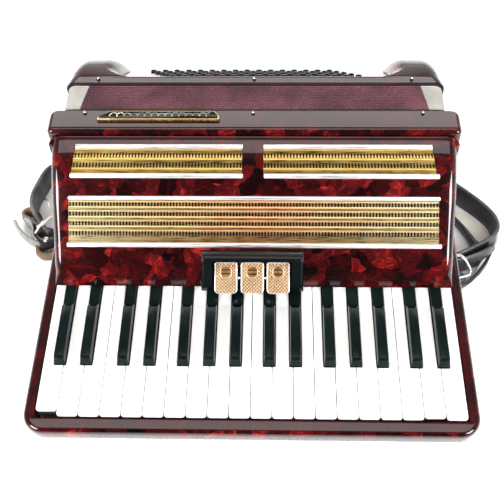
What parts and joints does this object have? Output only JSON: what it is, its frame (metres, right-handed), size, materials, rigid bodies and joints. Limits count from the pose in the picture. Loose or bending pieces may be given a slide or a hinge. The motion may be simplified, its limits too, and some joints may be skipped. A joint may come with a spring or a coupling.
{
  "type": "piano accordion",
  "caption": "Piano accordion lying on its back: piano keyboard, pearl casings, bellows, metal grilles, register switches, bass buttons and leather straps.",
  "frame": {"origin": "middle of the keyboard's length, on the treble casing's flat back", "axes": "+X along the keyboard towards its last white key, +Y from the keyboard to the bass side, +Z from the back (player) to the grille (audience)"},
  "size_m": [0.538, 0.4368, 0.185],
  "materials": {
    "pearl": "polished dark red pearl celluloid over wood",
    "ivory": "polished white",
    "black_gloss": "polished black",
    "gold": "pierced and gilt",
    "steel": "plated",
    "wood": "sanded spruce",
    "bellows_cloth": "cloth-covered cardboard folds with white leather corners",
    "leather": "smooth, worn"
  },
  "bodies": {
    "treble_side": {"bellows": "bellows_cloth", "grille_cover": "pearl", "grille_lower": "gold", "grille_upper_left": "gold", "grille_upper_right": "gold", "key_axle": "steel", "keyboard_bed": "pearl", "register_housing": "black_gloss", "shoulder_strap_left": "leather", "shoulder_strap_right": "leather", "treble_bellows_frame": "wood", "treble_casing": "pearl", "treble_reed_block": "wood"},
    "bass_side": {"bass_bellows_frame": "wood", "bass_casing": "pearl", "bass_strap": "leather"},
    "air_button": {"air_button": "steel"},
    "bass_button_row_1": {"bass_button_row_1": "black_gloss"},
    "bass_button_row_2": {"bass_button_row_2": "black_gloss"},
    "bass_button_row_3": {"bass_button_row_3": "black_gloss"},
    "bass_button_row_4": {"bass_button_row_4": "black_gloss"},
    "bass_button_row_5": {"bass_button_row_5": "black_gloss"},
    "bass_strap_wheel": {"bass_strap_wheel": "steel"},
    "black_key_01": {"black_key_01": "black_gloss"},
    "black_key_02": {"black_key_02": "black_gloss"},
    "black_key_03": {"black_key_03": "black_gloss"},
    "black_key_04": {"black_key_04": "black_gloss"},
    "black_key_05": {"black_key_05": "black_gloss"},
    "black_key_06": {"black_key_06": "black_gloss"},
    "black_key_07": {"black_key_07": "black_gloss"},
    "black_key_08": {"black_key_08": "black_gloss"},
    "black_key_09": {"black_key_09": "black_gloss"},
    "black_key_10": {"black_key_10": "black_gloss"},
    "black_key_11": {"black_key_11": "black_gloss"},
    "black_key_12": {"black_key_12": "black_gloss"},
    "black_key_13": {"black_key_13": "black_gloss"},
    "black_key_14": {"black_key_14": "black_gloss"},
    "register_switch_1": {"register_switch_1": "gold"},
    "register_switch_2": {"register_switch_2": "gold"},
    "register_switch_3": {"register_switch_3": "gold"},
    "white_key_01": {"white_key_01": "ivory"},
    "white_key_02": {"white_key_02": "ivory"},
    "white_key_03": {"white_key_03": "ivory"},
    "white_key_04": {"white_key_04": "ivory"},
    "white_key_05": {"white_key_05": "ivory"},
    "white_key_06": {"white_key_06": "ivory"},
    "white_key_07": {"white_key_07": "ivory"},
    "white_key_08": {"white_key_08": "ivory"},
    "white_key_09": {"white_key_09": "ivory"},
    "white_key_10": {"white_key_10": "ivory"},
    "white_key_11": {"white_key_11": "ivory"},
    "white_key_12": {"white_key_12": "ivory"},
    "white_key_13": {"white_key_13": "ivory"},
    "white_key_14": {"white_key_14": "ivory"},
    "white_key_15": {"white_key_15": "ivory"},
    "white_key_16": {"white_key_16": "ivory"},
    "white_key_17": {"white_key_17": "ivory"},
    "white_key_18": {"white_key_18": "ivory"},
    "white_key_19": {"white_key_19": "ivory"},
    "white_key_20": {"white_key_20": "ivory"}
  },
  "joints": [
    {"name": "white_key_01_press", "type": "hinge", "parent": "treble_side", "child": "white_key_01", "pos_m": [-0.18525, -0.05, 0.066], "axis": [1, 0, 0], "range_deg": [0, 1.5], "stiffness_Nm_per_rad": 0.6, "springref_deg": -11.46},
    {"name": "white_key_02_press", "type": "hinge", "parent": "treble_side", "child": "white_key_02", "pos_m": [-0.16575, -0.05, 0.066], "axis": [1, 0, 0], "range_deg": [0, 1.5], "stiffness_Nm_per_rad": 0.6, "springref_deg": -11.46},
    {"name": "white_key_03_press", "type": "hinge", "parent": "treble_side", "child": "white_key_03", "pos_m": [-0.14625, -0.05, 0.066], "axis": [1, 0, 0], "range_deg": [0, 1.5], "stiffness_Nm_per_rad": 0.6, "springref_deg": -11.46},
    {"name": "white_key_04_press", "type": "hinge", "parent": "treble_side", "child": "white_key_04", "pos_m": [-0.12675, -0.05, 0.066], "axis": [1, 0, 0], "range_deg": [0, 1.5], "stiffness_Nm_per_rad": 0.6, "springref_deg": -11.46},
    {"name": "white_key_05_press", "type": "hinge", "parent": "treble_side", "child": "white_key_05", "pos_m": [-0.10725, -0.05, 0.066], "axis": [1, 0, 0], "range_deg": [0, 1.5], "stiffness_Nm_per_rad": 0.6, "springref_deg": -11.46},
    {"name": "white_key_06_press", "type": "hinge", "parent": "treble_side", "child": "white_key_06", "pos_m": [-0.08775, -0.05, 0.066], "axis": [1, 0, 0], "range_deg": [0, 1.5], "stiffness_Nm_per_rad": 0.6, "springref_deg": -11.46},
    {"name": "white_key_07_press", "type": "hinge", "parent": "treble_side", "child": "white_key_07", "pos_m": [-0.06825, -0.05, 0.066], "axis": [1, 0, 0], "range_deg": [0, 1.5], "stiffness_Nm_per_rad": 0.6, "springref_deg": -11.46},
    {"name": "white_key_08_press", "type": "hinge", "parent": "treble_side", "child": "white_key_08", "pos_m": [-0.04875, -0.05, 0.066], "axis": [1, 0, 0], "range_deg": [0, 1.5], "stiffness_Nm_per_rad": 0.6, "springref_deg": -11.46},
    {"name": "white_key_09_press", "type": "hinge", "parent": "treble_side", "child": "white_key_09", "pos_m": [-0.02925, -0.05, 0.066], "axis": [1, 0, 0], "range_deg": [0, 1.5], "stiffness_Nm_per_rad": 0.6, "springref_deg": -11.46},
    {"name": "white_key_10_press", "type": "hinge", "parent": "treble_side", "child": "white_key_10", "pos_m": [-0.00975, -0.05, 0.066], "axis": [1, 0, 0], "range_deg": [0, 1.5], "stiffness_Nm_per_rad": 0.6, "springref_deg": -11.46},
    {"name": "white_key_11_press", "type": "hinge", "parent": "treble_side", "child": "white_key_11", "pos_m": [0.00975, -0.05, 0.066], "axis": [1, 0, 0], "range_deg": [0, 1.5], "stiffness_Nm_per_rad": 0.6, "springref_deg": -11.46},
    {"name": "white_key_12_press", "type": "hinge", "parent": "treble_side", "child": "white_key_12", "pos_m": [0.02925, -0.05, 0.066], "axis": [1, 0, 0], "range_deg": [0, 1.5], "stiffness_Nm_per_rad": 0.6, "springref_deg": -11.46},
    {"name": "white_key_13_press", "type": "hinge", "parent": "treble_side", "child": "white_key_13", "pos_m": [0.04875, -0.05, 0.066], "axis": [1, 0, 0], "range_deg": [0, 1.5], "stiffness_Nm_per_rad": 0.6, "springref_deg": -11.46},
    {"name": "white_key_14_press", "type": "hinge", "parent": "treble_side", "child": "white_key_14", "pos_m": [0.06825, -0.05, 0.066], "axis": [1, 0, 0], "range_deg": [0, 1.5], "stiffness_Nm_per_rad": 0.6, "springref_deg": -11.46},
    {"name": "white_key_15_press", "type": "hinge", "parent": "treble_side", "child": "white_key_15", "pos_m": [0.08775, -0.05, 0.066], "axis": [1, 0, 0], "range_deg": [0, 1.5], "stiffness_Nm_per_rad": 0.6, "springref_deg": -11.46},
    {"name": "white_key_16_press", "type": "hinge", "parent": "treble_side", "child": "white_key_16", "pos_m": [0.10725, -0.05, 0.066], "axis": [1, 0, 0], "range_deg": [0, 1.5], "stiffness_Nm_per_rad": 0.6, "springref_deg": -11.46},
    {"name": "white_key_17_press", "type": "hinge", "parent": "treble_side", "child": "white_key_17", "pos_m": [0.12675, -0.05, 0.066], "axis": [1, 0, 0], "range_deg": [0, 1.5], "stiffness_Nm_per_rad": 0.6, "springref_deg": -11.46},
    {"name": "white_key_18_press", "type": "hinge", "parent": "treble_side", "child": "white_key_18", "pos_m": [0.14625, -0.05, 0.066], "axis": [1, 0, 0], "range_deg": [0, 1.5], "stiffness_Nm_per_rad": 0.6, "springref_deg": -11.46},
    {"name": "white_key_19_press", "type": "hinge", "parent": "treble_side", "child": "white_key_19", "pos_m": [0.16575, -0.05, 0.066], "axis": [1, 0, 0], "range_deg": [0, 1.5], "stiffness_Nm_per_rad": 0.6, "springref_deg": -11.46},
    {"name": "white_key_20_press", "type": "hinge", "parent": "treble_side", "child": "white_key_20", "pos_m": [0.18525, -0.05, 0.066], "axis": [1, 0, 0], "range_deg": [0, 1.5], "stiffness_Nm_per_rad": 0.6, "springref_deg": -11.46},
    {"name": "black_key_01_press", "type": "hinge", "parent": "treble_side", "child": "black_key_01", "pos_m": [-0.1791, -0.05, 0.066], "axis": [1, 0, 0], "range_deg": [0, 1.5], "stiffness_Nm_per_rad": 0.6, "springref_deg": -11.46},
    {"name": "black_key_02_press", "type": "hinge", "parent": "treble_side", "child": "black_key_02", "pos_m": [-0.1544, -0.05, 0.066], "axis": [1, 0, 0], "range_deg": [0, 1.5], "stiffness_Nm_per_rad": 0.6, "springref_deg": -11.46},
    {"name": "black_key_03_press", "type": "hinge", "parent": "treble_side", "child": "black_key_03", "pos_m": [-0.1197, -0.05, 0.066], "axis": [1, 0, 0], "range_deg": [0, 1.5], "stiffness_Nm_per_rad": 0.6, "springref_deg": -11.46},
    {"name": "black_key_04_press", "type": "hinge", "parent": "treble_side", "child": "black_key_04", "pos_m": [-0.0951, -0.05, 0.066], "axis": [1, 0, 0], "range_deg": [0, 1.5], "stiffness_Nm_per_rad": 0.6, "springref_deg": -11.46},
    {"name": "black_key_05_press", "type": "hinge", "parent": "treble_side", "child": "black_key_05", "pos_m": [-0.0635, -0.05, 0.066], "axis": [1, 0, 0], "range_deg": [0, 1.5], "stiffness_Nm_per_rad": 0.6, "springref_deg": -11.46},
    {"name": "black_key_06_press", "type": "hinge", "parent": "treble_side", "child": "black_key_06", "pos_m": [-0.0392, -0.05, 0.066], "axis": [1, 0, 0], "range_deg": [0, 1.5], "stiffness_Nm_per_rad": 0.6, "springref_deg": -11.46},
    {"name": "black_key_07_press", "type": "hinge", "parent": "treble_side", "child": "black_key_07", "pos_m": [-0.0147, -0.05, 0.066], "axis": [1, 0, 0], "range_deg": [0, 1.5], "stiffness_Nm_per_rad": 0.6, "springref_deg": -11.46},
    {"name": "black_key_08_press", "type": "hinge", "parent": "treble_side", "child": "black_key_08", "pos_m": [0.0168, -0.05, 0.066], "axis": [1, 0, 0], "range_deg": [0, 1.5], "stiffness_Nm_per_rad": 0.6, "springref_deg": -11.46},
    {"name": "black_key_09_press", "type": "hinge", "parent": "treble_side", "child": "black_key_09", "pos_m": [0.0414, -0.05, 0.066], "axis": [1, 0, 0], "range_deg": [0, 1.5], "stiffness_Nm_per_rad": 0.6, "springref_deg": -11.46},
    {"name": "black_key_10_press", "type": "hinge", "parent": "treble_side", "child": "black_key_10", "pos_m": [0.073, -0.05, 0.066], "axis": [1, 0, 0], "range_deg": [0, 1.5], "stiffness_Nm_per_rad": 0.6, "springref_deg": -11.46},
    {"name": "black_key_11_press", "type": "hinge", "parent": "treble_side", "child": "black_key_11", "pos_m": [0.0975, -0.05, 0.066], "axis": [1, 0, 0], "range_deg": [0, 1.5], "stiffness_Nm_per_rad": 0.6, "springref_deg": -11.46},
    {"name": "black_key_12_press", "type": "hinge", "parent": "treble_side", "child": "black_key_12", "pos_m": [0.122, -0.05, 0.066], "axis": [1, 0, 0], "range_deg": [0, 1.5], "stiffness_Nm_per_rad": 0.6, "springref_deg": -11.46},
    {"name": "black_key_13_press", "type": "hinge", "parent": "treble_side", "child": "black_key_13", "pos_m": [0.1533, -0.05, 0.066], "axis": [1, 0, 0], "range_deg": [0, 1.5], "stiffness_Nm_per_rad": 0.6, "springref_deg": -11.46},
    {"name": "black_key_14_press", "type": "hinge", "parent": "treble_side", "child": "black_key_14", "pos_m": [0.1783, -0.05, 0.066], "axis": [1, 0, 0], "range_deg": [0, 1.5], "stiffness_Nm_per_rad": 0.6, "springref_deg": -11.46},
    {"name": "register_switch_1_rock", "type": "hinge", "parent": "treble_side", "child": "register_switch_1", "pos_m": [-0.0256, -0.06577, 0.09999], "axis": [1, 0, 0], "range_deg": [-1, 6]},
    {"name": "register_switch_2_rock", "type": "hinge", "parent": "treble_side", "child": "register_switch_2", "pos_m": [0, -0.06577, 0.09999], "axis": [1, 0, 0], "range_deg": [-6, 1]},
    {"name": "register_switch_3_rock", "type": "hinge", "parent": "treble_side", "child": "register_switch_3", "pos_m": [0.025, -0.06577, 0.09999], "axis": [1, 0, 0], "range_deg": [-1, 6]},
    {"name": "bellows_slide", "type": "slide", "parent": "treble_side", "child": "bass_side", "axis": [0, 1, 0], "range_m": [0, 0.25], "deforming": ["bellows"]},
    {"name": "bass_button_row_1_press", "type": "slide", "parent": "bass_side", "child": "bass_button_row_1", "axis": [0, -0.6196, -0.7849], "range_m": [0, 0.004], "stiffness_N_per_m": 300, "springref_m": -0.004},
    {"name": "bass_button_row_2_press", "type": "slide", "parent": "bass_side", "child": "bass_button_row_2", "axis": [0, -0.6196, -0.7849], "range_m": [0, 0.004], "stiffness_N_per_m": 300, "springref_m": -0.004},
    {"name": "bass_button_row_3_press", "type": "slide", "parent": "bass_side", "child": "bass_button_row_3", "axis": [0, -0.6196, -0.7849], "range_m": [0, 0.004], "stiffness_N_per_m": 300, "springref_m": -0.004},
    {"name": "bass_button_row_4_press", "type": "slide", "parent": "bass_side", "child": "bass_button_row_4", "axis": [0, -0.6196, -0.7849], "range_m": [0, 0.004], "stiffness_N_per_m": 300, "springref_m": -0.004},
    {"name": "bass_button_row_5_press", "type": "slide", "parent": "bass_side", "child": "bass_button_row_5", "axis": [0, -0.6196, -0.7849], "range_m": [0, 0.004], "stiffness_N_per_m": 300, "springref_m": -0.004},
    {"name": "air_button_press", "type": "slide", "parent": "bass_side", "child": "air_button", "axis": [0, -1, 0], "range_m": [0, 0.004], "stiffness_N_per_m": 300, "springref_m": -0.004},
    {"name": "bass_strap_wheel_turn", "type": "hinge", "parent": "bass_side", "child": "bass_strap_wheel", "pos_m": [0.1945, 0.16, 0.046], "axis": [1, 0, 0], "continuous": true}
  ]
}
